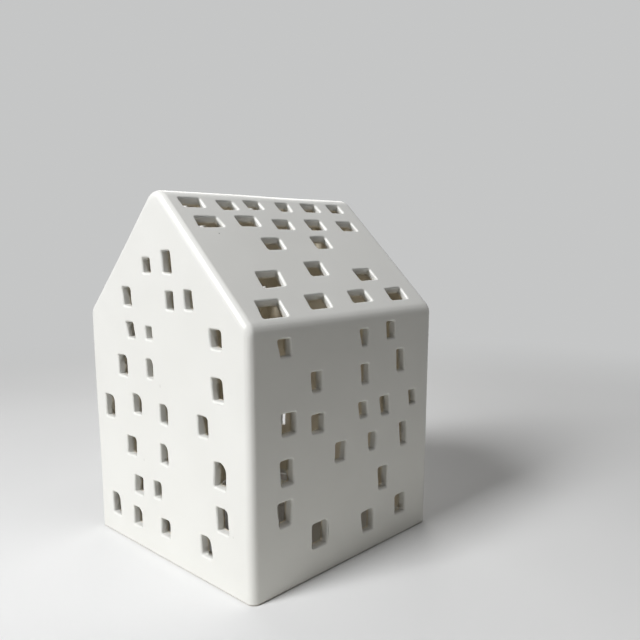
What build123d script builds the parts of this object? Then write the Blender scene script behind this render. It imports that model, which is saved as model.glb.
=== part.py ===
"""A ceramic house that stands over a tealight.

The house is one hollow casting with an open foot: four walls that lean out a little
towards the eaves, two roof slopes, and small windows cut through every side. The
tealight stands inside it on the same surface, and the house lifts straight off it.

Millimetres, +Z up. The origin is the middle of the foot. The ridge runs along Y, the
front gable faces -Y, and the side wall that is seen beside it faces +X.
"""
import os
from math import atan2, cos, degrees, hypot, radians, sin

from build123d import *

# House, outside
house_width = 100.0  # across the gable at the eaves, along X
house_depth = 99.0  # along the ridge at the eaves, along Y
eave_height = 92.0  # foot to the sharp line where wall and roof meet
roof_rise = 48.0  # eaves to the sharp ridge
foot_inset = 1.1  # how far each wall draws in from the eaves to the foot
wall = 3.5  # thickness of the casting
ridge_radius = 7.5
eave_radius = 6.0
corner_radius = 3.0  # upright corners and the sloping gable edges
foot_radius = 0.8
inner_corner_radius = 1.5

# Windows
window_width = 6.0  # a usual window in a wall
window_height = 9.0
roof_window_width = 9.0  # a usual window in the roof, along the ridge
roof_window_height = 6.0  # down the slope
window_corner_radius = 0.7
rim_radius = 0.8  # glazed edge round each window
roof_knife_lean = 22.0  # degrees from square at which the rear side of a roof window is cut

# Tealight
cup_radius = 19.2  # outside, at the top of the wall
cup_height = 15.5
cup_wall = 0.35
cup_draft = 0.6  # how much smaller the radius is at the floor
cup_floor_radius = 2.0  # round the lower edge
cup_bead_radius = 0.55  # rolled rim
cup_panel_radius = 13.0  # middle of the floor that is pressed up
cup_panel_rise = 0.4
wax_fill = 12.5  # wax above the floor of the cup
wax_gap = 0.15  # shrinkage between wax and cup
wax_edge_radius = 0.8
wax_rise = 0.6  # wax drawn up round the wick
wax_rise_radius = 4.0
sustainer_radius = 7.0
sustainer_thickness = 0.3
neck_radius = 1.35
neck_height = 3.2
wick_radius = 0.75
wick_stand = 8.0  # wick above the wax
wick_bend_radius = 9.0
wick_bend = 28.0  # degrees the top of the wick leans over
cast_gap = 0.08  # between the wax and what is cast into it
wick_gap = 0.05  # between the wick and its neck

overrun = 2.0 * wall  # how far a cut runs past what it cuts
parallel_share = 0.9999  # cosine past which two faces count as facing the same way

# Each window of the front gable: middle across and up, width, height, how far its
# foot leans to the right, how much narrower its foot is, and how round its upper
# right corner is. Places are shares of the house's width and its sharp ridge height,
# the rest are shares of the usual window.
front_window_shares = (
    (-0.067, 0.789, 0.85, 0.63, 0.10, 0.00, 0.0),
    (0.064, 0.800, 0.92, 0.88, 0.16, 0.03, 0.0),
    (-0.210, 0.703, 1.00, 0.80, 0.18, 0.05, 0.2),
    (0.074, 0.703, 0.77, 0.74, 0.08, 0.00, 0.0),
    (0.188, 0.709, 0.78, 0.74, 0.11, 0.00, 0.0),
    (-0.193, 0.612, 0.93, 0.67, 0.30, 0.12, 0.1),
    (-0.066, 0.612, 0.70, 0.53, 0.07, 0.00, 0.0),
    (0.332, 0.623, 0.98, 0.71, 0.10, 0.05, 0.1),
    (-0.259, 0.509, 1.02, 0.90, 0.11, 0.00, 0.2),
    (-0.070, 0.516, 0.70, 0.81, 0.04, 0.05, 0.3),
    (0.332, 0.501, 0.98, 0.87, 0.10, 0.04, 0.2),
    (-0.372, 0.382, 1.06, 1.00, 0.00, 0.00, 0.2),
    (-0.167, 0.409, 1.00, 0.83, 0.09, 0.12, 0.4),
    (0.011, 0.402, 0.83, 0.80, 0.04, 0.03, 0.3),
    (0.245, 0.401, 0.90, 0.79, 0.07, 0.03, 0.1),
    (-0.222, 0.285, 1.08, 0.82, -0.05, 0.00, 0.1),
    (0.003, 0.293, 0.80, 0.83, -0.03, 0.00, 0.4),
    (0.332, 0.291, 0.95, 0.98, 0.02, -0.10, 0.4),
    (-0.183, 0.177, 0.95, 0.79, -0.08, -0.06, 0.0),
    (-0.052, 0.186, 0.80, 0.74, -0.03, 0.00, 0.1),
    (-0.359, 0.091, 0.92, 0.99, 0.08, 0.00, 0.3),
    (-0.200, 0.083, 0.97, 0.84, 0.00, 0.00, 0.3),
    (-0.007, 0.089, 0.96, 0.72, -0.03, -0.04, 0.1),
    (0.340, 0.181, 0.92, 0.95, 0.09, -0.12, 0.2),
    (0.244, 0.095, 0.91, 0.82, 0.08, -0.12, 0.4),
)

# The same for the side wall that faces +X, as shares of the house's depth and the
# height of its eaves. Across runs from the front to the rear.
right_window_shares = (
    (-0.340, 0.917, 0.97, 0.68, 0.15, 0.20, 0.0),
    (-0.188, 0.770, 0.87, 0.80, 0.06, 0.10, 0.0),
    (0.067, 0.909, 0.83, 0.71, 0.10, 0.27, 0.0),
    (0.226, 0.923, 0.87, 0.74, 0.10, 0.05, 0.0),
    (0.291, 0.787, 0.80, 0.97, 0.10, 0.00, 0.1),
    (0.072, 0.761, 0.80, 0.83, 0.09, 0.15, 0.0),
    (0.062, 0.614, 0.82, 0.67, 0.12, 0.10, 0.0),
    (0.194, 0.607, 0.90, 0.83, 0.10, 0.05, 0.0),
    (0.374, 0.611, 0.78, 0.68, 0.10, 0.08, 0.0),
    (-0.322, 0.634, 1.13, 0.83, 0.05, 0.06, 0.0),
    (-0.181, 0.607, 1.08, 0.74, -0.02, 0.12, 0.0),
    (-0.063, 0.469, 1.00, 0.80, -0.08, 0.10, 0.0),
    (0.121, 0.469, 0.90, 0.76, 0.00, 0.35, 0.1),
    (0.318, 0.459, 0.80, 1.06, 0.16, 0.12, 0.0),
    (-0.331, 0.454, 1.00, 0.96, 0.07, 0.05, 0.1),
    (0.190, 0.293, 1.00, 0.97, 0.04, 0.15, 0.0),
    (-0.342, 0.302, 1.08, 0.93, 0.01, 0.22, 0.0),
    (-0.170, 0.167, 1.27, 0.99, -0.02, 0.03, 0.1),
    (0.099, 0.130, 1.15, 0.91, 0.10, 0.15, 0.1),
    (0.304, 0.142, 1.08, 0.88, 0.00, 0.00, 0.0),
)

# Roof windows of the slope above that wall: middle across as a share of the house's
# depth and down as a share of the slope, then the width and the height as shares of
# the usual roof window, the lean of the lower edge and how much shorter it is.
right_roof_shares = (
    (-0.391, 0.146, 0.97, 0.76, 0.02, 0.00),
    (-0.235, 0.158, 0.80, 0.78, 0.10, 0.00),
    (-0.101, 0.147, 0.82, 0.74, 0.06, 0.03),
    (0.060, 0.150, 0.75, 0.76, -0.02, 0.13),
    (0.215, 0.147, 0.90, 0.76, 0.04, 0.00),
    (0.368, 0.147, 0.80, 0.75, 0.05, 0.00),
    (-0.372, 0.290, 1.02, 0.87, 0.02, -0.15),
    (-0.188, 0.281, 1.02, 0.84, -0.01, 0.04),
    (-0.016, 0.301, 0.93, 0.82, 0.02, 0.02),
    (0.167, 0.299, 0.96, 0.94, 0.00, 0.05),
    (0.357, 0.304, 1.02, 0.90, 0.03, 0.02),
    (-0.139, 0.456, 0.96, 0.95, -0.01, 0.00),
    (0.122, 0.448, 0.91, 1.07, -0.05, 0.02),
    (-0.269, 0.705, 1.13, 1.17, -0.11, 0.03),
    (-0.012, 0.650, 0.93, 1.15, -0.08, -0.02),
    (0.235, 0.713, 1.06, 0.98, 0.02, -0.04),
    (-0.353, 0.894, 1.12, 1.20, -0.10, -0.08),
    (-0.120, 0.876, 1.08, 1.05, -0.09, 0.00),
    (0.111, 0.869, 1.02, 0.92, -0.05, -0.18),
    (0.335, 0.876, 1.09, 0.98, -0.07, -0.02),
)

# The sides that face away carry windows of the same kind in rows of their own. Each
# row gives how far up the wall or down the slope it lies, and the middles of its
# windows: front to rear on the left wall and the left slope, and -X to +X at the rear.
left_row_shares = (
    (0.915, (-0.415, -0.150, 0.020, 0.210, 0.375)),
    (0.760, (-0.315, -0.100, 0.190, 0.345)),
    (0.600, (-0.210, 0.000, 0.265, 0.415)),
    (0.450, (-0.405, -0.250, -0.080, 0.220, 0.365)),
    (0.290, (-0.275, -0.090, 0.130, 0.305, 0.415)),
    (0.135, (-0.130, 0.030, 0.235, 0.385)),
)
left_roof_row_shares = (
    (0.150, (-0.375, -0.215, -0.050, 0.110, 0.255, 0.395)),
    (0.300, (-0.405, -0.240, -0.080, 0.080, 0.375)),
    (0.455, (-0.140, 0.040, 0.400)),
    (0.680, (-0.270, -0.040, 0.145)),
    (0.878, (-0.275, -0.060, 0.130, 0.345)),
)
rear_row_shares = (
    (0.790, (-0.040, 0.065)),
    (0.706, (-0.255, -0.085, 0.035, 0.245)),
    (0.588, (-0.240, -0.060, 0.080, 0.380)),
    (0.500, (-0.260, -0.080, 0.060, 0.275)),
    (0.385, (-0.390, -0.235, -0.020)),
    (0.295, (-0.245, 0.015)),
    (0.220, (-0.372,)),
    (0.175, (-0.215, 0.105, 0.375)),
    (0.083, (-0.215, -0.045, 0.120)),
)
# Hand-cut differences that these rows take in turn: width, height, lean, narrower foot
cut_shares = (
    (1.00, 0.98, 0.05, 0.02),
    (0.88, 0.90, 0.10, 0.10),
    (1.08, 1.02, -0.04, 0.06),
    (0.94, 1.06, 0.00, -0.06),
    (0.84, 0.88, 0.08, 0.00),
)

# What follows from those sizes
ridge_height = eave_height + roof_rise
roof_angle = atan2(roof_rise, house_width / 2)
slope_length = hypot(roof_rise, house_width / 2)
wall_slope = foot_inset / eave_height
lean = atan2(foot_inset, eave_height)


def half_at(half_size, height):
    """Half of the house's width or depth at a height, on the sharp form."""
    return half_size - wall_slope * (eave_height - height)


def gable_points(foot):
    """The gable's sharp outline, with its lower corners at the height foot."""
    reach = house_width / 2
    low = half_at(reach, foot)
    return [(-low, foot), (low, foot), (reach, eave_height), (0, ridge_height), (-reach, eave_height)]


def side_points(foot, top):
    """The outline seen from the side, from the height foot to the height top."""
    low, high = half_at(house_depth / 2, foot), half_at(house_depth / 2, top)
    return [(-low, foot), (low, foot), (high, top), (-high, top)]


def build_form(foot, top, inset):
    """Adds the house's closed form, drawn in by inset on every side but the foot."""
    with BuildSketch(Plane.XZ) as gable:
        with BuildLine():
            Polyline(*gable_points(foot), close=True)
        make_face()
        if inset:
            offset(amount=-inset, kind=Kind.INTERSECTION)
    extrude(gable.sketch, amount=house_depth, both=True)
    with BuildSketch(Plane.YZ) as side:
        with BuildLine():
            Polyline(*side_points(foot, top), close=True)
        make_face()
        if inset:
            offset(amount=-inset, kind=Kind.INTERSECTION)
    extrude(side.sketch, amount=house_width, both=True, mode=Mode.INTERSECT)


def round_form(form, ridge, eave, corner):
    """Rounds the ridge, the eaves and every edge of the two gables but the foot."""
    fillet(form.edges().filter_by(Axis.Y).group_by(Axis.Z)[-1], radius=ridge)
    fillet(form.edges().filter_by(Axis.Y).group_by(Axis.Z)[1], radius=eave)
    gables = form.faces().sort_by(Axis.Y)
    edges = gables[0].edges() + gables[-1].edges()
    fillet(edges.filter_by(lambda edge: edge.center().Z > foot_radius), radius=corner)


# Working planes on the outer faces: x across, y up the wall or down the slope
half_foot_width = half_at(house_width / 2, 0)
half_foot_depth = half_at(house_depth / 2, 0)
front_plane = Plane(origin=(0, -half_foot_depth, 0), x_dir=(1, 0, 0), z_dir=(0, -cos(lean), -sin(lean)))
rear_plane = Plane(origin=(0, half_foot_depth, 0), x_dir=(-1, 0, 0), z_dir=(0, cos(lean), -sin(lean)))
right_plane = Plane(origin=(half_foot_width, 0, 0), x_dir=(0, 1, 0), z_dir=(cos(lean), 0, -sin(lean)))
left_plane = Plane(origin=(-half_foot_width, 0, 0), x_dir=(0, -1, 0), z_dir=(-cos(lean), 0, -sin(lean)))
right_roof_plane = Plane(
    origin=(0, 0, ridge_height), x_dir=(0, 1, 0), z_dir=(sin(roof_angle), 0, cos(roof_angle))
)
left_roof_plane = Plane(
    origin=(0, 0, ridge_height), x_dir=(0, -1, 0), z_dir=(-sin(roof_angle), 0, cos(roof_angle))
)


def cut_window(middle, width, height, foot_lean, foot_narrow, round_share):
    """Draws one window: a four-sided outline with small corners, the upper right rounder."""
    across, up = middle
    half_top = width / 2
    half_low = (width - foot_narrow) / 2
    points = [
        (across - half_top - foot_lean / 2, up + height / 2),
        (across - half_low + foot_lean / 2, up - height / 2),
        (across + half_low + foot_lean / 2, up - height / 2),
        (across + half_top - foot_lean / 2, up + height / 2),
    ]
    upper_right = window_corner_radius + round_share * width
    radii = [window_corner_radius] * 3 + [upper_right]
    with BuildLine() as outline:
        FilletPolyline(*points, radius=radii, close=True)
    make_face(outline.edges())


def cut_wall_windows(plane, table, across_size, up_size):
    """Cuts a wall's windows from its table of shares."""
    with BuildSketch(plane) as windows:
        for across, up, wide, tall, foot_lean, narrow, round_share in table:
            cut_window(
                (across * across_size, up * up_size),
                wide * window_width,
                tall * window_height,
                foot_lean * window_width,
                narrow * window_width,
                round_share,
            )
    extrude(windows.sketch, amount=overrun, both=True, mode=Mode.SUBTRACT)


def cut_roof_windows(plane, table):
    """Cuts a slope's windows from its table of shares.

    The rear side of each one slants back into the wall, because the knife leaned over.
    """
    knife_lean = radians(roof_knife_lean)
    slant = plane.x_dir * sin(knife_lean) - plane.z_dir * cos(knife_lean)
    with BuildSketch(plane) as windows:
        for across, down, wide, tall, foot_lean, narrow in table:
            cut_window(
                (across * house_depth, -down * slope_length),
                wide * roof_window_width,
                tall * roof_window_height,
                foot_lean * roof_window_width,
                narrow * roof_window_width,
                0,
            )
    extrude(windows.sketch, amount=overrun, both=True, mode=Mode.SUBTRACT)
    extrude(windows.sketch, amount=overrun, dir=slant, mode=Mode.SUBTRACT)


def cut_rows(plane, rows, across_size, up_size, width, height):
    """Cuts the windows of a side that faces away, each with the next hand-cut difference.

    The planes of these sides run from the rear to the front and from +X to -X, so the
    places across are turned round.
    """
    count = 0
    with BuildSketch(plane) as windows:
        for up, middles in rows:
            for across in middles:
                wide, tall, foot_lean, narrow = cut_shares[count % len(cut_shares)]
                cut_window(
                    (-across * across_size, up * up_size),
                    wide * width,
                    tall * height,
                    foot_lean * width,
                    narrow * width,
                    0,
                )
                count += 1
    extrude(windows.sketch, amount=overrun, both=True, mode=Mode.SUBTRACT)


def window_rims(form, plane):
    """The edges where the windows break the outer face that lies on this plane."""
    faces = form.faces().filter_by(GeomType.PLANE)
    faces = faces.filter_by(lambda face: face.normal_at().dot(plane.z_dir) > parallel_share)
    outer = faces.sort_by(lambda face: abs(plane.to_local_coords(face.center()).Z))[0]
    return [edge for wire in outer.inner_wires() for edge in wire.edges()]


# House
with BuildPart() as outer_form:
    build_form(0, ridge_height + overrun, 0)
    round_form(outer_form, ridge_radius, eave_radius, corner_radius)
    fillet(outer_form.faces().sort_by(Axis.Z)[0].edges(), radius=foot_radius)

with BuildPart() as hollow_form:
    build_form(-overrun, ridge_height + overrun, wall)
    round_form(hollow_form, ridge_radius - wall, eave_radius - wall, inner_corner_radius)

with BuildPart() as house_shell:
    add(outer_form.part)
    add(hollow_form.part, mode=Mode.SUBTRACT)
    cut_wall_windows(front_plane, front_window_shares, house_width, ridge_height)
    cut_wall_windows(right_plane, right_window_shares, house_depth, eave_height)
    cut_roof_windows(right_roof_plane, right_roof_shares)
    cut_rows(left_plane, left_row_shares, house_depth, eave_height, window_width, window_height)
    cut_rows(rear_plane, rear_row_shares, house_width, ridge_height, window_width, window_height)
    cut_rows(
        left_roof_plane,
        left_roof_row_shares,
        house_depth,
        -slope_length,
        roof_window_width,
        roof_window_height,
    )
    planes = (front_plane, rear_plane, right_plane, left_plane, right_roof_plane, left_roof_plane)
    fillet([edge for plane in planes for edge in window_rims(house_shell, plane)], radius=rim_radius)
house_shell.part.label = "house_shell"

# Tealight cup: a pressed shell with a rolled rim and a panel pressed up in its floor
with BuildPart() as tealight_cup:
    with BuildSketch(Plane.XZ):
        with BuildLine():
            Polyline(
                (0, 0),
                (cup_radius - cup_draft, 0),
                (cup_radius, cup_height),
                (cup_radius - cup_wall, cup_height),
                (cup_radius - cup_draft - cup_wall, cup_wall),
                (0, cup_wall),
                close=True,
            )
        make_face()
    revolve(axis=Axis.Z)
    floor_edges = tealight_cup.edges().filter_by(GeomType.CIRCLE).group_by(Axis.Z)
    fillet(floor_edges[0], radius=cup_floor_radius)
    floor_edges = tealight_cup.edges().filter_by(GeomType.CIRCLE)
    inside = floor_edges.filter_by(lambda edge: abs(edge.center().Z - cup_wall) < cup_wall / 2)
    fillet(inside, radius=cup_floor_radius - cup_wall)
    with BuildSketch(Plane.XY):
        Circle(cup_panel_radius + cup_wall)
    extrude(amount=cup_panel_rise + cup_wall)
    with BuildSketch(Plane.XY):
        Circle(cup_panel_radius)
    extrude(amount=cup_panel_rise, mode=Mode.SUBTRACT)
    with BuildSketch(Plane.XZ):
        with Locations((cup_radius + cup_bead_radius - cup_wall, cup_height - cup_bead_radius)):
            Circle(cup_bead_radius)
    revolve(axis=Axis.Z)
tealight_cup.part.label = "tealight_cup"

# Wick sustainer: a disc on the raised panel, with a neck crimped round the wick
seat_height = cup_panel_rise + cup_wall
neck_bore = wick_radius + wick_gap
with BuildPart() as wick_sustainer:
    with BuildSketch(Plane.XY.offset(seat_height)):
        Circle(sustainer_radius)
    extrude(amount=sustainer_thickness)
    with BuildSketch(Plane.XY.offset(seat_height)):
        Circle(neck_radius)
    extrude(amount=neck_height)
    with BuildSketch(Plane.XY.offset(seat_height)):
        Circle(neck_bore)
    extrude(amount=neck_height, mode=Mode.SUBTRACT)
wick_sustainer.part.label = "wick_sustainer"

# Wick: straight through the wax, leaning over at the top
wax_top = cup_wall + wax_fill
bend_start = wax_top + wick_stand / 3
with BuildPart() as wick:
    with BuildLine(Plane.XZ) as wick_path:
        Line((0, seat_height), (0, bend_start))
        JernArc(start=(0, bend_start), tangent=(0, 1), radius=wick_bend_radius, arc_size=-wick_bend)
    with BuildSketch(Plane.XY.offset(seat_height)):
        Circle(wick_radius)
    sweep(path=wick_path.wires()[0])
wick.part.label = "wick"

# Wax: cast round the sustainer and the wick, and shrunk a little from the cup
with BuildPart() as tealight_wax:
    low_radius = cup_radius - cup_draft - cup_wall - wax_gap
    high_radius = low_radius + cup_draft * wax_fill / (cup_height - cup_wall)
    with BuildSketch(Plane.XZ):
        with BuildLine():
            Polyline((0, cup_wall), (low_radius, cup_wall), (high_radius, wax_top), (0, wax_top), close=True)
        make_face()
    revolve(axis=Axis.Z)
    rims = tealight_wax.edges().filter_by(GeomType.CIRCLE).group_by(Axis.Z)
    fillet(rims[0], radius=cup_floor_radius - cup_wall)
    rims = tealight_wax.edges().filter_by(GeomType.CIRCLE).group_by(Axis.Z)
    fillet(rims[-1], radius=wax_edge_radius)
    with BuildSketch(Plane.XY.offset(cup_wall)):
        Circle(cup_panel_radius + cup_wall + cast_gap)
    extrude(amount=seat_height - cup_wall, mode=Mode.SUBTRACT)
    with BuildSketch(Plane.XY.offset(seat_height)):
        Circle(sustainer_radius + cast_gap)
    extrude(amount=sustainer_thickness + cast_gap, mode=Mode.SUBTRACT)
    with BuildSketch(Plane.XY.offset(seat_height)):
        Circle(neck_radius + cast_gap)
    extrude(amount=neck_height + cast_gap, mode=Mode.SUBTRACT)
    with BuildSketch(Plane.XZ):
        with BuildLine():
            Line((0, wax_top), (wax_rise_radius, wax_top))
            Line((0, wax_top), (0, wax_top + wax_rise))
            Line((0, wax_top + wax_rise), (wick_radius + cast_gap, wax_top + wax_rise))
            Line((wick_radius + cast_gap, wax_top + wax_rise), (wax_rise_radius, wax_top))
        make_face()
    revolve(axis=Axis.Z)
    with BuildSketch(Plane.XY.offset(seat_height)):
        Circle(wick_radius + cast_gap)
    extrude(amount=wax_fill + wax_rise, mode=Mode.SUBTRACT)
tealight_wax.part.label = "tealight_wax"

os.makedirs("parts", exist_ok=True)
export_step(house_shell.part, "parts/house_shell.step")
export_step(tealight_cup.part, "parts/tealight_cup.step")
export_step(tealight_wax.part, "parts/tealight_wax.step")
export_step(wick_sustainer.part, "parts/wick_sustainer.step")
export_step(wick.part, "parts/wick.step")

size = house_shell.part.bounding_box().size
print(f"house {size.X:.2f} x {size.Y:.2f} x {size.Z:.2f}, slopes at {degrees(roof_angle):.1f} degrees")
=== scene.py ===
# %% [markdown]
# A tealight house is one hollow casting of white ceramic that stands over a candle.
# The imported part already has every wall and window at its real size, so it comes in
# first, as a fixed frame. Nothing below moves it.

# %% Load the fixed frame
from math import atan2, cos, pi, radians, sin, tau

import bmesh
import bpy
from mathutils import Matrix, Vector, noise


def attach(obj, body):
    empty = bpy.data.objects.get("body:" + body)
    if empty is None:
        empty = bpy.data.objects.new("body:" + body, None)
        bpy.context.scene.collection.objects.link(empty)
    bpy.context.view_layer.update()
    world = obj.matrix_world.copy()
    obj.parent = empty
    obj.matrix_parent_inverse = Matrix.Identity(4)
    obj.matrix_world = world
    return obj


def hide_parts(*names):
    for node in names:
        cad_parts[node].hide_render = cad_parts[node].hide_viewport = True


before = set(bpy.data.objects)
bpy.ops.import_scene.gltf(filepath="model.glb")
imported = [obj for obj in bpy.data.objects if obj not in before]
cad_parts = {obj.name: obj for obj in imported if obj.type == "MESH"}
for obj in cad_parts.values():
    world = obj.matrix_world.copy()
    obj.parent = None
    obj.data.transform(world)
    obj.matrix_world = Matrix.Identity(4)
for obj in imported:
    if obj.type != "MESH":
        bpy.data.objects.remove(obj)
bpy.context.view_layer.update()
mm = 0.001
print("nodes:", sorted(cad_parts))

# %% [markdown]
# The camera comes next. The photograph was taken from close by, a little above the
# ground and past the front right corner, so the upright lines fall together. Such a view
# is held as a place, three angles and a focal length. The focal length is counted in
# pixels of a picture 640 pixels wide, and the lens follows from it and from the width of
# the sensor.

# %% Camera
camera_place = Vector((209.25 * mm, -183.83 * mm, 118.54 * mm))
camera_azimuth = 0.7638
camera_elevation = 0.1140
camera_roll = -0.0039
picture_pixels = 640
focal_pixels = 678.0

camera_data = bpy.data.cameras.new("photo_camera")
camera_data.sensor_width = 36
camera_data.lens = focal_pixels / picture_pixels * camera_data.sensor_width
camera_data.clip_start = 0.01
camera_data.clip_end = 20
camera = bpy.data.objects.new("photo_camera", camera_data)
turn = Matrix.Rotation(camera_azimuth, 4, "Z")
tilt = Matrix.Rotation(pi / 2 - camera_elevation, 4, "X")
roll = Matrix.Rotation(camera_roll, 4, "Z")
camera.matrix_world = Matrix.Translation(camera_place) @ turn @ tilt @ roll
bpy.context.scene.collection.objects.link(camera)
bpy.context.scene.camera = camera
print("lens in mm:", round(camera_data.lens, 2))

# %% [markdown]
# Every piece made here goes through the same few steps: a bmesh becomes an object, its
# faces are shaded smooth, and edges that turn sharply stay crisp. Weighted normals let
# the large flat faces decide the shading, so that small rounded edges don't pull
# shadows across a wall.

# %% Helpers for meshes
def new_piece(name, shape, crease):
    """Turns a bmesh into an object with smooth faces that are crisp past the crease angle."""
    mesh = bpy.data.meshes.new(name)
    shape.to_mesh(mesh)
    shape.free()
    mesh.shade_smooth()
    mesh.set_sharp_from_angle(angle=crease)
    piece = bpy.data.objects.new(name, mesh)
    bpy.context.scene.collection.objects.link(piece)
    print(name, "has", len(mesh.polygons), "faces")
    return piece


def weight_normals(piece):
    """Lets the largest faces round a corner decide how it is shaded."""
    weighted = piece.modifiers.new("weighted_normals", "WEIGHTED_NORMAL")
    weighted.mode = "FACE_AREA_WITH_ANGLE"
    weighted.keep_sharp = True


def smooth_step(value, low, high):
    """Rises softly from 0 at low to 1 at high."""
    share = min(max((value - low) / (high - low), 0), 1)
    return share * share * (3 - 2 * share)


# %% [markdown]
# The ground is one round sheet that curves up into its own wall far behind the object,
# as paper does in a studio. It has no horizon line, and it looks the same from all
# sides. A profile is drawn once and spun round the upright axis.

# %% Ground and backdrop
ground_radius = 1.10
sweep_radius = 0.60
wall_top = 1.90
sweep_steps = 24
ground_steps = 96
ground_crease = radians(60)
merge_distance = 0.001 * mm


def spun(points, steps, closed=False):
    """Spins a profile of (radius, height) points round the upright axis."""
    shape = bmesh.new()
    profile = [shape.verts.new((across, 0, up)) for across, up in points]
    pairs = list(zip(profile, profile[1:]))
    if closed:
        pairs.append((profile[-1], profile[0]))
    edges = [shape.edges.new(pair) for pair in pairs]
    bmesh.ops.spin(
        shape, geom=profile + edges, cent=(0, 0, 0), axis=(0, 0, 1), angle=tau, steps=steps, use_merge=True
    )
    bmesh.ops.remove_doubles(shape, verts=shape.verts, dist=merge_distance)
    bmesh.ops.recalc_face_normals(shape, faces=shape.faces)
    return shape


def arc_points(centre, radius, start, end, steps):
    """Points along an arc, in degrees, where 0 points outwards and 90 points up."""
    turns = [radians(start + (end - start) * step / steps) for step in range(steps + 1)]
    return [(centre[0] + radius * cos(angle), centre[1] + radius * sin(angle)) for angle in turns]


sweep = arc_points((ground_radius, sweep_radius), sweep_radius, -90, 0, sweep_steps)
ground_profile = [(0, 0)] + sweep + [(ground_radius + sweep_radius, wall_top)]
backdrop_shape = spun(ground_profile, ground_steps)
bmesh.ops.reverse_faces(backdrop_shape, faces=backdrop_shape.faces)
backdrop = new_piece("pale_ground", backdrop_shape, ground_crease)

# %% [markdown]
# The light is a large soft window on the side that the front gable faces, well above
# it, so the gable is the brightest face and the roof slopes come next. The side wall
# gets mostly what the ground sends back. A weaker lamp behind the far corner keeps the
# two hidden sides readable, another hangs over the right of the house as a pale ceiling
# would, and the world adds a trace of light from everywhere.

# %% Lights
def soft_light(name, place, aim, width, height, watts, color):
    """Hangs a rectangular lamp that faces a point."""
    data = bpy.data.lights.new(name, "AREA")
    data.shape = "RECTANGLE"
    data.size = width
    data.size_y = height
    data.energy = watts
    data.color = color
    lamp = bpy.data.objects.new(name, data)
    lamp.location = place
    lamp.rotation_euler = (Vector(aim) - Vector(place)).to_track_quat("-Z", "Y").to_euler()
    bpy.context.scene.collection.objects.link(lamp)


middle = Vector((0, 0, 60 * mm))
daylight, warm_white, soft_white = (1.0, 1.0, 1.0), (1.0, 0.98, 0.94), (1.0, 0.99, 0.97)
room_color, room_strength = (1.0, 0.98, 0.95, 1), 0.02
soft_light(
    "window_light", (-0.07, -0.67, 0.72), middle, width=0.28, height=0.45, watts=9.2, color=daylight
)
soft_light(
    "back_light", (-0.62, 0.56, 0.42), middle, width=0.50, height=0.50, watts=1.6, color=warm_white
)
soft_light(
    "ceiling_light", (0.24, 0.0, 1.10), middle, width=0.50, height=0.60, watts=1.7, color=soft_white
)

world = bpy.data.worlds.new("pale_room")
bpy.context.scene.world = world
world.use_nodes = True
room = world.node_tree.nodes["Background"]
room.inputs["Color"].default_value = room_color
room.inputs["Strength"].default_value = room_strength
bpy.context.scene.view_settings.view_transform = "Standard"

# %% [markdown]
# Materials are built from nodes. These small helpers keep that short: one makes an
# empty material with its shader, one adds a node, sets its values and links its inputs.

# %% Helpers for materials
def new_material(name):
    """An empty material with a Principled shader, and its node tree."""
    material = bpy.data.materials.new(name)
    material.use_nodes = True
    tree = material.node_tree
    return material, tree, tree.nodes["Principled BSDF"]


def add_node(tree, kind, links=(), **settings):
    """Adds a node, sets its inputs by name or its own settings, and links what feeds it."""
    node = tree.nodes.new(kind)
    for name, value in settings.items():
        socket = node.inputs.get(name.replace("_", " "))
        if socket is not None and not hasattr(node, name):
            socket.default_value = value
        else:
            setattr(node, name, value)
    for target, source in links:
        tree.links.new(source, node.inputs[target])
    return node


def math_node(tree, operation, first, second):
    """Adds a Math node. Each operand is a socket or a number."""
    node = tree.nodes.new("ShaderNodeMath")
    node.operation = operation
    for place, operand in enumerate((first, second)):
        if isinstance(operand, (int, float)):
            node.inputs[place].default_value = operand
        else:
            tree.links.new(operand, node.inputs[place])
    return node.outputs[0]


def set_shader(shader, **values):
    """Sets constant numbers and colours on the shader's own sockets."""
    for name, value in values.items():
        shader.inputs[name.replace("_", " ")].default_value = value


def range_node(tree, value, low, high, to_low, to_high):
    """Maps a value smoothly from one range to another."""
    node = tree.nodes.new("ShaderNodeMapRange")
    node.interpolation_type = "SMOOTHSTEP"
    for name, number in (("From Min", low), ("From Max", high), ("To Min", to_low), ("To Max", to_high)):
        node.inputs[name].default_value = number
    tree.links.new(value, node.inputs["Value"])
    return node.outputs["Result"]


def mix_color(tree, share, first, second):
    """Mixes two colours, each a socket or a value, by a share."""
    node = tree.nodes.new("ShaderNodeMix")
    node.data_type = "RGBA"
    tree.links.new(share, node.inputs["Factor"])
    for name, color in (("A", first), ("B", second)):
        socket = [put for put in node.inputs if put.name == name and put.type == "RGBA"][0]
        if isinstance(color, tuple):
            socket.default_value = (*color, 1)
        else:
            tree.links.new(color, socket)
    return [out for out in node.outputs if out.type == "RGBA"][0]


# %% [markdown]
# Three effects turn up on more than one surface, so each is a node group with its own
# named inputs. Slow waves are the uneven flow of glaze or wax. Specks are the rare tiny
# pits and dots left in a fired or cast surface. Fine grain is the small roughness that
# takes the perfect edge off every reflection.

# %% Shared effects
def new_group(name, inputs, outputs):
    """A shader node group with named value sockets, and its two end nodes."""
    group = bpy.data.node_groups.new(name, "ShaderNodeTree")
    for socket_name, kind, default in inputs:
        socket = group.interface.new_socket(socket_name, in_out="INPUT", socket_type=kind)
        socket.default_value = default
    for socket_name in outputs:
        group.interface.new_socket(socket_name, in_out="OUTPUT", socket_type="NodeSocketFloat")
    return group, group.nodes.new("NodeGroupInput"), group.nodes.new("NodeGroupOutput")


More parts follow.
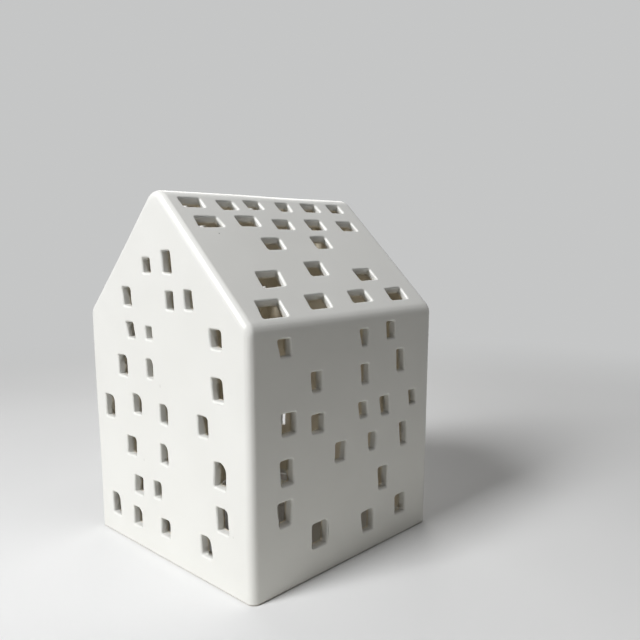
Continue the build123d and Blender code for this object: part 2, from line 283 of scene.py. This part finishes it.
def make_slow_waves():
    """Broad soft swells with a few smaller ones on them."""
    finer_times, finer_share = 3.1, 0.22
    group, start, end = new_group("Slow waves", [("Scale", "NodeSocketFloat", 40.0)], ["Height"])
    place = group.nodes.new("ShaderNodeTexCoord").outputs["Object"]
    scale = start.outputs["Scale"]
    finer = math_node(group, "MULTIPLY", scale, finer_times)
    broad = add_node(group, "ShaderNodeTexNoise", [("Vector", place), ("Scale", scale)], Detail=1.0)
    small = add_node(group, "ShaderNodeTexNoise", [("Vector", place), ("Scale", finer)], Detail=1.0)
    part = math_node(group, "MULTIPLY", small.outputs["Fac"], finer_share)
    height = math_node(group, "ADD", broad.outputs["Fac"], part)
    group.links.new(height, end.inputs["Height"])
    return group


def make_specks():
    """A mask of scattered dots. Only the cells whose own random value is high carry one."""
    names = (("Scale", 110.0), ("Radius", 0.05), ("Rarity", 0.9))
    inputs = [(name, "NodeSocketFloat", default) for name, default in names]
    group, start, end = new_group("Specks", inputs, ["Mask"])
    place = group.nodes.new("ShaderNodeTexCoord").outputs["Object"]
    cells = add_node(group, "ShaderNodeTexVoronoi", [("Vector", place), ("Scale", start.outputs["Scale"])])
    near = math_node(group, "LESS_THAN", cells.outputs["Distance"], start.outputs["Radius"])
    chance = add_node(group, "ShaderNodeSeparateColor", [("Color", cells.outputs["Color"])])
    rare = math_node(group, "GREATER_THAN", chance.outputs["Red"], start.outputs["Rarity"])
    mask = math_node(group, "MULTIPLY", near, rare)
    group.links.new(mask, end.inputs["Mask"])
    return group


def make_fine_grain():
    """Small even roughness, stretched along the upright axis where a tool has drawn it."""
    inputs = [("Scale", "NodeSocketFloat", 900.0), ("Stretch", "NodeSocketFloat", 1.0)]
    group, start, end = new_group("Fine grain", inputs, ["Height"])
    place = group.nodes.new("ShaderNodeTexCoord").outputs["Object"]
    split = add_node(group, "ShaderNodeSeparateXYZ", [("Vector", place)])
    short = math_node(group, "DIVIDE", split.outputs["Z"], start.outputs["Stretch"])
    sides = [("X", split.outputs["X"]), ("Y", split.outputs["Y"]), ("Z", short)]
    joined = add_node(group, "ShaderNodeCombineXYZ", sides).outputs["Vector"]
    feeds = [("Vector", joined), ("Scale", start.outputs["Scale"])]
    grain = add_node(group, "ShaderNodeTexNoise", feeds, Detail=3.0)
    group.links.new(grain.outputs["Fac"], end.inputs["Height"])
    return group


slow_waves, specks, fine_grain = make_slow_waves(), make_specks(), make_fine_grain()


def use_group(tree, group, **values):
    """Places a shared effect in a material with its own values."""
    node = tree.nodes.new("ShaderNodeGroup")
    node.node_tree = group
    for name, value in values.items():
        node.inputs[name].default_value = value
    return node.outputs[0]


def add_bump(tree, height, distance, strength=1.0, below=None):
    """A Bump node whose height is counted in real metres, on top of another one if given."""
    node = tree.nodes.new("ShaderNodeBump")
    node.inputs["Strength"].default_value = strength
    node.inputs["Distance"].default_value = distance
    tree.links.new(height, node.inputs["Height"])
    if below is not None:
        tree.links.new(below, node.inputs["Normal"])
    return node.outputs["Normal"]


print("shared effects:", [group.name for group in bpy.data.node_groups])

# %% [markdown]
# The glaze is a thin layer of clear, slightly milky glass over a white body. A white
# diffuse colour under a soft reflection gives the body, and a clear coat above it gives
# the crisp small highlights on the rims. The glaze flows unevenly before it sets, so
# the reflections swim a little, and here and there a pinhole shows a dark dot. Inside
# the house it lies thin over the warmer body, so the finish turns creamier with the
# depth below the outside. The foot is wiped clean before firing, so it is matt and has
# no coat. Its grey is partly the bare body and partly painted shade: the dark contact
# line where the house meets the ground.

# %% Glaze
def make_glaze():
    """White glossy glaze with swimming reflections, pinholes, and an unglazed foot band whose grey is
    partly painted contact shade.
    """
    thin_milk, thick_milk = (0.798, 0.800, 0.774), (0.848, 0.851, 0.830)
    # The foot colour is partly the bare body and partly painted shade for the contact line along the
    # ground.
    inside_milk, biscuit_and_contact_shade = (0.962, 0.880, 0.722), (0.66, 0.64, 0.60)
    smudge, smudge_share = (0.42, 0.41, 0.38), 0.16
    pinhole, pinhole_share = (0.16, 0.15, 0.13), 0.62
    foot_low, foot_high, foot_roughness = 0.35 * mm, 0.8 * mm, 0.85
    material, tree, shader = new_material("milky_glaze")
    waves = use_group(tree, slow_waves, Scale=38.0)
    peel = use_group(tree, fine_grain, Scale=420.0)
    pits = use_group(tree, specks, Scale=105.0, Radius=0.034, Rarity=0.90)
    smudges = use_group(tree, specks, Scale=150.0, Radius=0.10, Rarity=0.965)
    place = tree.nodes.new("ShaderNodeTexCoord").outputs["Object"]
    up = add_node(tree, "ShaderNodeSeparateXYZ", [("Vector", place)]).outputs["Z"]
    # Mask of the foot band: it makes the foot matt and uncoated, and also carries the painted contact
    # shade.
    dry_foot_and_shade = range_node(tree, up, foot_low, foot_high, 1.0, 0.0)

    depth = tree.nodes.new("ShaderNodeAttribute")
    depth.attribute_name = "depth"
    inside = range_node(tree, depth.outputs["Fac"], 2.2, 3.7, 0.0, 1.0)

    milk = mix_color(tree, waves, thin_milk, thick_milk)
    milk = mix_color(tree, inside, milk, inside_milk)
    smudged = mix_color(tree, math_node(tree, "MULTIPLY", smudges, smudge_share), milk, smudge)
    pitted = mix_color(tree, math_node(tree, "MULTIPLY", pits, pinhole_share), smudged, pinhole)
    # Painted shade: the foot band turns grey, standing in partly for the contact shadow along the ground.
    finished = mix_color(tree, dry_foot_and_shade, pitted, biscuit_and_contact_shade)
    tree.links.new(finished, shader.inputs["Base Color"])

    gloss = range_node(tree, waves, 0.35, 0.85, 0.34, 0.43)
    rough = math_node(tree, "MAXIMUM", gloss, math_node(tree, "MULTIPLY", dry_foot_and_shade, foot_roughness))
    tree.links.new(rough, shader.inputs["Roughness"])
    glassy = range_node(tree, dry_foot_and_shade, 0.0, 1.0, 0.30, 0.0)
    tree.links.new(glassy, shader.inputs["Coat Weight"])
    set_shader(shader, IOR=1.5, Specular_IOR_Level=0.3, Coat_Roughness=0.22, Coat_IOR=1.5)

    swell = add_bump(tree, waves, 0.15 * mm)
    skin = add_bump(tree, peel, 0.012 * mm, below=swell)
    hole = math_node(tree, "MULTIPLY", pits, -1.0)
    tree.links.new(add_bump(tree, hole, 0.15 * mm, below=skin), shader.inputs["Normal"])
    return material


glaze = make_glaze()
print("made", glaze.name)

# %% [markdown]
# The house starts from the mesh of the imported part: its loose triangles are joined into
# one skin, and thinned where they are finer than the shape needs. A slip-cast wall is
# never quite flat, and its windows are cut by hand while the clay is soft. So the skin
# is cut into small cells, a slow field bends the walls by a fraction of a millimetre,
# and a quicker field shifts the outline of each window within its wall. Moving a point
# only within its wall keeps the wall smooth. The seed makes both fields the same in
# every run.

# %% House
kept_share = 0.22
cell = 6.0 * mm
side_length = 1.6 * mm
side_cuts = 2
rim_turn = radians(4)
seam_width = 0.002 * mm
house_half_width = 50 * mm
house_half_depth = 49.5 * mm
eave_height = 92 * mm
ridge_height = 140 * mm
foot_inset = 1.1 * mm
bow, bow_length = 0.22 * mm, 42 * mm
wobble, wobble_length = 0.30 * mm, 5.5 * mm
calm_depth, free_depth = 3.2 * mm, 6.5 * mm
calm_foot = 12 * mm
shape_seed = 7
house_crease = radians(38)

wall_lean = foot_inset / eave_height
roof_angle = atan2(ridge_height - eave_height, house_half_width)
outer_planes = [
    (Vector((sign * house_half_width, 0, eave_height)), Vector((sign, 0, -wall_lean)).normalized())
    for sign in (-1, 1)
]
outer_planes += [
    (Vector((0, sign * house_half_depth, eave_height)), Vector((0, sign, -wall_lean)).normalized())
    for sign in (-1, 1)
]
outer_planes += [
    (Vector((0, 0, ridge_height)), Vector((sign * sin(roof_angle), 0, cos(roof_angle)))) for sign in (-1, 1)
]
outer_planes.append((Vector((0, 0, 0)), Vector((0, 0, -1))))


def joined_node(node, share):
    """A bmesh of a CAD node with its triangles joined and thinned to a share of their number."""
    shape = bmesh.new()
    shape.from_mesh(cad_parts[node].data)
    bmesh.ops.remove_doubles(shape, verts=shape.verts, dist=seam_width)
    mesh = bpy.data.meshes.new(node + "_joined")
    shape.to_mesh(mesh)
    draft = bpy.data.objects.new(node + "_joined", mesh)
    bpy.context.scene.collection.objects.link(draft)
    thinning = draft.modifiers.new("thinning", "DECIMATE")
    thinning.ratio = share
    thinned = draft.evaluated_get(bpy.context.evaluated_depsgraph_get())
    shape.clear()
    shape.from_mesh(thinned.to_mesh())
    bpy.data.objects.remove(draft)
    bpy.data.meshes.remove(mesh)
    return shape


def cut_in_cells(shape, size):
    """Cuts a mesh by planes across X, Y and Z, a cell apart."""
    for axis in range(3):
        low = min(vert.co[axis] for vert in shape.verts)
        high = max(vert.co[axis] for vert in shape.verts)
        count = int((high - low) / size)
        for step in range(1, count + 1):
            place, normal = Vector((0, 0, 0)), Vector((0, 0, 0))
            place[axis] = low + (high - low) * step / (count + 1)
            normal[axis] = 1
            geometry = shape.verts[:] + shape.edges[:] + shape.faces[:]
            bmesh.ops.bisect_plane(
                shape, geom=geometry, dist=merge_distance, plane_co=place, plane_no=normal
            )


def split_window_sides(shape, length):
    """Adds points along the rims of the windows, so that their sides can bend."""
    for _ in range(side_cuts):
        joints = [edge for edge in shape.edges if len(edge.link_faces) == 2]
        long_joints = [edge for edge in joints if edge.calc_length() > length]
        bent = [edge for edge in long_joints if edge.calc_face_angle() > rim_turn]
        bmesh.ops.subdivide_edges(shape, edges=bent, cuts=1)


def hand_made(shape):
    """Bends the walls slowly and shifts the window outlines within their walls.

    The depth of each point below the outside is kept as an attribute, for the finish.
    """
    depth_layer = shape.verts.layers.float.new("depth")
    for vert in shape.verts:
        depths = sorted(((place - vert.co).dot(normal), normal) for place, normal in outer_planes)
        wall_normal = depths[0][1]
        vert[depth_layer] = depths[0][0] / mm
        free = smooth_step(depths[1][0], calm_depth, free_depth)
        quick = noise.noise_vector(vert.co / wobble_length) * wobble * free
        quick -= wall_normal * quick.dot(wall_normal)
        slow = noise.noise_vector(vert.co / bow_length) * bow
        slow.z *= smooth_step(vert.co.z, 0, calm_foot)
        vert.co += quick + slow


house_shape = joined_node("house_shell", kept_share)
cut_in_cells(house_shape, cell)
split_window_sides(house_shape, side_length)
noise.seed_set(shape_seed)
hand_made(house_shape)
house = new_piece("glazed_house", house_shape, house_crease)
weight_normals(house)
house.data.materials.append(glaze)
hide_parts("house_shell")
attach(house, "house")

# %% [markdown]
# The cup of a tealight is drawn from thin aluminium foil. Its wall crimps into shallow
# upright flutes, the rim is rolled outwards so that it isn't sharp, and the floor is
# pressed up in the middle to seat the wick. The profile is spun, and the flutes are
# then pressed into the wall, strongest at half height.

# %% Tealight cup
cup_radius = 19.2 * mm
cup_height = 15.5 * mm
cup_wall = 0.35 * mm
cup_draft = 0.6 * mm
cup_floor_radius = 2.0 * mm
cup_bead_radius = 0.55 * mm
cup_panel_radius = 13.0 * mm
cup_panel_rise = 0.4 * mm
flute_count = 60
flute_depth = 0.11 * mm
flute_foot = (1.5 * mm, 5 * mm)
flute_head = (10 * mm, 14.2 * mm)
steps_per_flute = 6
corner_steps, bead_steps = 6, 14
cup_crease = radians(50)

low_radius = cup_radius - cup_draft
bead_centre = (cup_radius + cup_bead_radius - cup_wall, cup_height - cup_bead_radius)
inner_corner = cup_floor_radius - cup_wall
cup_profile = [(0, cup_panel_rise), (cup_panel_radius, cup_panel_rise), (cup_panel_radius + cup_wall, 0)]
cup_corner = (low_radius - cup_floor_radius, cup_floor_radius)
cup_profile += arc_points(cup_corner, cup_floor_radius, -90, 0, corner_steps)
wall_shares = (0.3, 0.45, 0.6, 0.75, 0.88)
cup_profile += [(low_radius + cup_draft * share, cup_height * share) for share in wall_shares]
cup_profile += arc_points(bead_centre, cup_bead_radius, -120, 180, bead_steps)
cup_profile += [
    (low_radius - cup_wall + cup_draft * share, cup_height * share) for share in reversed(wall_shares)
]
cup_profile += arc_points(cup_corner, inner_corner, 0, -90, corner_steps)
cup_profile += [
    (cup_panel_radius + 2 * cup_wall, cup_wall),
    (cup_panel_radius + cup_wall, cup_panel_rise + cup_wall),
    (0, cup_panel_rise + cup_wall),
]


def press_flutes(shape):
    """Presses upright flutes into the wall of the cup, fading to its floor and its rim."""
    for vert in shape.verts:
        across = Vector((vert.co.x, vert.co.y, 0))
        strength = smooth_step(vert.co.z, *flute_foot) * (1 - smooth_step(vert.co.z, *flute_head))
        if across.length > cup_panel_radius and strength > 0:
            angle = atan2(across.y, across.x)
            vert.co -= across.normalized() * flute_depth * strength * (1 + cos(flute_count * angle))


cup_shape = spun(cup_profile, steps_per_flute * flute_count)
press_flutes(cup_shape)
cup = new_piece("fluted_cup", cup_shape, cup_crease)

# %% [markdown]
# Drawn foil is bright, with fine upright lines from the die and a few duller patches
# where it has been handled. The lines are a grain stretched along Z, and they change
# the roughness and the surface together.

# %% Aluminium
def make_aluminium():
    """Bright drawn foil with upright die lines."""
    die_line, polished = (0.70, 0.70, 0.71), (0.86, 0.86, 0.87)
    material, tree, shader = new_material("cup_foil")
    lines = use_group(tree, fine_grain, Scale=1500.0, Stretch=14.0)
    patches = use_group(tree, slow_waves, Scale=120.0)
    share = range_node(tree, lines, 0.35, 0.65, 0.0, 1.0)
    tone = mix_color(tree, share, die_line, polished)
    tree.links.new(tone, shader.inputs["Base Color"])
    dull = range_node(tree, patches, 0.4, 0.8, 0.285, 0.42)
    tree.links.new(dull, shader.inputs["Roughness"])
    set_shader(shader, Metallic=1.0)
    tree.links.new(add_bump(tree, lines, 0.02 * mm), shader.inputs["Normal"])
    return material


cup.data.materials.append(make_aluminium())
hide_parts("tealight_cup")
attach(cup, "tealight")
print("the cup wears", cup.data.materials[0].name)

# %% [markdown]
# The wax is poured hot and shrinks as it sets. Its top dips a little between the cup
# and the wick, rises round the wick where it clings, and rounds over at the edge. Each
# row of the table is a distance from the middle and a rise above the fill, in mm. The
# profile is a closed ring round the wick, spun and then eased by a slow field.

# %% Wax
wax_fill = 12.5 * mm
wax_gap = 0.15 * mm
wax_top = cup_wall + wax_fill
wick_hole = 0.83 * mm
seat_height = cup_panel_rise + cup_wall
wax_low_radius = low_radius - cup_wall - wax_gap
wax_high_radius = wax_low_radius + cup_draft * wax_fill / (cup_height - cup_wall)
wax_edge = 0.8 * mm
wax_panel_radius = cup_panel_radius + 1.3 * cup_wall
wax_corner_steps, wax_edge_steps, wax_steps = 5, 6, 128
wax_longest_edge = 1.6 * mm
wax_crease = radians(50)
skin_depth = 0.5 * mm
swell_length, swell_height, calm_radius = 7 * mm, 0.09 * mm, 4 * mm
wax_rises = [(15.5, -0.10), (12.5, -0.22), (9.5, -0.26), (6.5, -0.20), (4.2, -0.02)]
wax_rises += [(2.8, 0.16), (1.8, 0.38), (1.1, 0.58)]
wick_climb = 0.60 * mm

wax_profile = [(wick_hole, seat_height), (wax_panel_radius, seat_height), (wax_panel_radius, cup_wall)]
low_corner = (wax_low_radius - inner_corner, cup_wall + inner_corner)
wax_profile += arc_points(low_corner, inner_corner, -90, 0, wax_corner_steps)
high_corner = (wax_high_radius - wax_edge, wax_top - wax_edge)
wax_profile += arc_points(high_corner, wax_edge, 0, 90, wax_edge_steps)
wax_profile += [(across * mm, wax_top + rise * mm) for across, rise in wax_rises]
wax_profile.append((wick_hole, wax_top + wick_climb))


def ease_wax(shape):
    """Lets the cast top swell and dip slightly."""
    for vert in shape.verts:
        if vert.co.z > wax_top - skin_depth:
            across = Vector((vert.co.x, vert.co.y, 0))
            swell = noise.noise(across / swell_length) * swell_height
            vert.co.z += swell * smooth_step(across.length, wick_hole, calm_radius)


wax_shape = spun(wax_profile, wax_steps, closed=True)
long_edges = [edge for edge in wax_shape.edges if edge.calc_length() > wax_longest_edge]
bmesh.ops.subdivide_edges(wax_shape, edges=long_edges, cuts=1, use_grid_fill=True)
ease_wax(wax_shape)
wax = new_piece("cast_wax", wax_shape, wax_crease)

# %% [markdown]
# Paraffin lets light in a little way and sends it back softened, which is what makes it
# look like wax and not like plaster. Subsurface scattering does that. The skin has a
# faint bloom of lighter patches, a few trapped bubbles and a soft shine.

# %% Wax finish
def make_wax():
    """White paraffin with a faint bloom and trapped bubbles."""
    clear_wax, bloomed_wax = (0.80, 0.785, 0.735), (0.875, 0.870, 0.845)
    scatter_share, scatter_depth, scatter_reach = 0.55, 1.6 * mm, (1.0, 0.85, 0.65)
    material, tree, shader = new_material("cast_paraffin")
    bloom = use_group(tree, slow_waves, Scale=160.0)
    grain = use_group(tree, fine_grain, Scale=1100.0)
    bubbles = use_group(tree, specks, Scale=420.0, Radius=0.16, Rarity=0.86)
    share = range_node(tree, bloom, 0.35, 0.85, 0.0, 1.0)
    tone = mix_color(tree, share, clear_wax, bloomed_wax)
    tree.links.new(tone, shader.inputs["Base Color"])
    shine = range_node(tree, bloom, 0.35, 0.85, 0.30, 0.48)
    tree.links.new(shine, shader.inputs["Roughness"])
    set_shader(shader, IOR=1.43, Subsurface_Weight=scatter_share, Subsurface_Scale=scatter_depth)
    set_shader(shader, Subsurface_Radius=scatter_reach)
    skin = add_bump(tree, grain, 0.02 * mm, below=add_bump(tree, bloom, 0.12 * mm))
    dent = math_node(tree, "MULTIPLY", bubbles, -1.0)
    tree.links.new(add_bump(tree, dent, 0.05 * mm, below=skin), shader.inputs["Normal"])
    return material


wax.data.materials.append(make_wax())
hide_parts("tealight_wax")
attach(wax, "tealight")
print("the wax wears", wax.data.materials[0].name)

# %% [markdown]
# The wick is a round braid of cotton: half of its yarns wind one way and half the other,
# and each passes over and under those it meets. A yarn is a small ring spun with a
# climb, which makes a helix. Yarns of the two directions cross every eighth of a turn,
# so a wave of four crests in each turn lifts one as it lowers the other. The top then
# leans over, and the cut end is pinched.

# %% Wick
wick_stand = 8.0 * mm
wick_bend_radius = 9.0 * mm
wick_bend = radians(28)
yarns_each_way = 4
yarn_sides = 8
yarn_radius = 0.20 * mm
braid_radius = 0.44 * mm
braid_lift = 0.09 * mm
braid_pitch = 4.6 * mm
steps_each_turn = 40
pinch_share, pinch_length = 0.30, 1.0 * mm
wick_crease = radians(60)

bend_start = wax_top + wick_stand / 3
wick_length = bend_start - seat_height + wick_bend_radius * wick_bend


def add_yarn(shape, phase, way):
    """Adds one yarn of the braid, upright, from the seat to the full length."""
    turns = wick_length / braid_pitch
    before = set(shape.verts)
    circle = bmesh.ops.create_circle(shape, cap_ends=False, radius=yarn_radius, segments=yarn_sides)
    ring = circle["verts"]
    upright = Matrix.Rotation(pi / 2, 3, "X")
    for vert in ring:
        vert.co = upright @ vert.co + Vector((braid_radius, 0, 0))
    edges = list(dict.fromkeys(edge for vert in ring for edge in vert.link_edges))
    spin = bmesh.ops.spin(
        shape,
        geom=ring + edges,
        cent=(0, 0, 0),
        axis=(0, 0, 1),
        dvec=(0, 0, wick_length / (turns * steps_each_turn)),
        angle=way * tau * turns,
        steps=int(turns * steps_each_turn),
        use_merge=False,
    )
    last = [part for part in spin["geom_last"] if isinstance(part, bmesh.types.BMEdge)]
    bmesh.ops.contextual_create(shape, geom=edges)
    bmesh.ops.contextual_create(shape, geom=last)
    yarn = [vert for vert in shape.verts if vert not in before]
    for vert in yarn:
        across = Vector((vert.co.x, vert.co.y, 0))
        lift = way * braid_lift * cos(yarns_each_way * tau * vert.co.z / braid_pitch)
        vert.co += across.normalized() * lift
    bmesh.ops.rotate(shape, verts=yarn, cent=(0, 0, 0), matrix=Matrix.Rotation(phase, 3, "Z"))
    bmesh.ops.translate(shape, verts=yarn, vec=(0, 0, seat_height))


def bend_wick(shape):
    """Pinches the cut end and leans the top of the wick over towards +X."""
    top = seat_height + wick_length
    for vert in shape.verts:
        pinch = 1 - pinch_share * smooth_step(vert.co.z, top - pinch_length, top)
        vert.co.x *= pinch
        vert.co.y *= pinch
        past = vert.co.z - bend_start
        if past > 0:
            angle = past / wick_bend_radius
            reach = wick_bend_radius - vert.co.x
            vert.co.x = wick_bend_radius - reach * cos(angle)
            vert.co.z = bend_start + reach * sin(angle)


wick_shape = bmesh.new()
for way in (1, -1):
    for yarn in range(yarns_each_way):
        add_yarn(wick_shape, tau * yarn / yarns_each_way, way)
bend_wick(wick_shape)
bmesh.ops.recalc_face_normals(wick_shape, faces=wick_shape.faces)
wick = new_piece("braided_wick", wick_shape, wick_crease)

# %% [markdown]
# Cotton yarn is matt, with fine fibres along it, and a candle's wick is soaked in wax,
# which fills the lows and leaves a faint shine. The part below the wax is never seen.

# %% Wick finish
def make_cotton():
    """Waxed cotton with fine fibres."""
    soaked_fibre, dry_fibre = (0.66, 0.62, 0.53), (0.86, 0.84, 0.78)
    material, tree, shader = new_material("waxed_cotton")
    fibres = use_group(tree, fine_grain, Scale=5200.0, Stretch=3.0)
    soaked = use_group(tree, slow_waves, Scale=700.0)
    share = range_node(tree, fibres, 0.35, 0.65, 0.0, 1.0)
    tone = mix_color(tree, share, soaked_fibre, dry_fibre)
    tree.links.new(tone, shader.inputs["Base Color"])
    sheen = range_node(tree, soaked, 0.4, 0.8, 0.45, 0.78)
    tree.links.new(sheen, shader.inputs["Roughness"])
    set_shader(shader, Sheen_Weight=0.25, Sheen_Roughness=0.5)
    tree.links.new(add_bump(tree, fibres, 0.03 * mm), shader.inputs["Normal"])
    return material


wick.data.materials.append(make_cotton())
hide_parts("wick")
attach(wick, "tealight")
print("the wick wears", wick.data.materials[0].name)

# %% [markdown]
# The sustainer is the little tinned disc that keeps the wick upright. The wax covers
# it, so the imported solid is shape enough, and it only needs its metal.

# %% Wick sustainer
def make_tinned_steel():
    """Tinned steel with a grain from rolling."""
    rolled_low, rolled_high = (0.50, 0.50, 0.49), (0.66, 0.66, 0.65)
    material, tree, shader = new_material("tinned_steel")
    rolled = use_group(tree, fine_grain, Scale=2200.0, Stretch=8.0)
    share = range_node(tree, rolled, 0.35, 0.65, 0.0, 1.0)
    tone = mix_color(tree, share, rolled_low, rolled_high)
    tree.links.new(tone, shader.inputs["Base Color"])
    rough = range_node(tree, rolled, 0.3, 0.7, 0.285, 0.42)
    tree.links.new(rough, shader.inputs["Roughness"])
    set_shader(shader, Metallic=1.0)
    tree.links.new(add_bump(tree, rolled, 0.01 * mm), shader.inputs["Normal"])
    return material


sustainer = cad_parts["wick_sustainer"]
sustainer.data.materials.clear()
sustainer.data.materials.append(make_tinned_steel())
print("the sustainer wears", sustainer.data.materials[0].name)

# %% [markdown]
# The ground is plain and pale, like matt painted board, with only a trace of unevenness
# so that its shading doesn't look printed. What the camera sees of it blends into one
# even tone far from the object. What it sends back to the object fades sooner, so the
# lower walls get the most of it.

# %% Ground finish
def make_ground():
    """Pale matt board that melts into an evenly toned backdrop away from the object."""
    board_low, board_high = (0.755, 0.760, 0.765), (0.770, 0.775, 0.780)
    sent_near, sent_far = (0.80, 0.79, 0.75), (0.20, 0.195, 0.19)
    backdrop_tone = (0.56, 0.565, 0.565, 1)
    melt_start, melt_end, dim_start, dim_end = 0.17, 0.60, 0.14, 0.36
    material, tree, shader = new_material("pale_board")
    cloud = range_node(tree, use_group(tree, slow_waves, Scale=9.0), 0.35, 0.85, 0.0, 1.0)
    pale = mix_color(tree, cloud, board_low, board_high)
    place = tree.nodes.new("ShaderNodeTexCoord").outputs["Object"]
    reach = add_node(tree, "ShaderNodeVectorMath", [("Vector", place)], operation="LENGTH")
    away = reach.outputs["Value"]
    far = range_node(tree, away, melt_start, melt_end, 0.0, 1.0)
    dim = range_node(tree, away, dim_start, dim_end, 0.0, 1.0)
    path = tree.nodes.new("ShaderNodeLightPath").outputs
    seen = math_node(tree, "MAXIMUM", path["Is Camera Ray"], path["Is Glossy Ray"])
    seen = math_node(tree, "MAXIMUM", seen, path["Is Transmission Ray"])
    sent = mix_color(tree, dim, sent_near, sent_far)
    tree.links.new(mix_color(tree, seen, sent, pale), shader.inputs["Base Color"])
    set_shader(shader, Roughness=0.6, Specular_IOR_Level=0.2)
    tooth = use_group(tree, fine_grain, Scale=500.0)
    tree.links.new(add_bump(tree, tooth, 0.03 * mm), shader.inputs["Normal"])
    plain = add_node(tree, "ShaderNodeEmission", Color=backdrop_tone)
    blend = tree.nodes.new("ShaderNodeMixShader")
    tree.links.new(math_node(tree, "MULTIPLY", seen, far), blend.inputs["Fac"])
    tree.links.new(shader.outputs["BSDF"], blend.inputs[1])
    tree.links.new(plain.outputs["Emission"], blend.inputs[2])
    tree.links.new(blend.outputs["Shader"], tree.nodes["Material Output"].inputs["Surface"])
    return material


backdrop.data.materials.append(make_ground())
print("the ground wears", backdrop.data.materials[0].name)
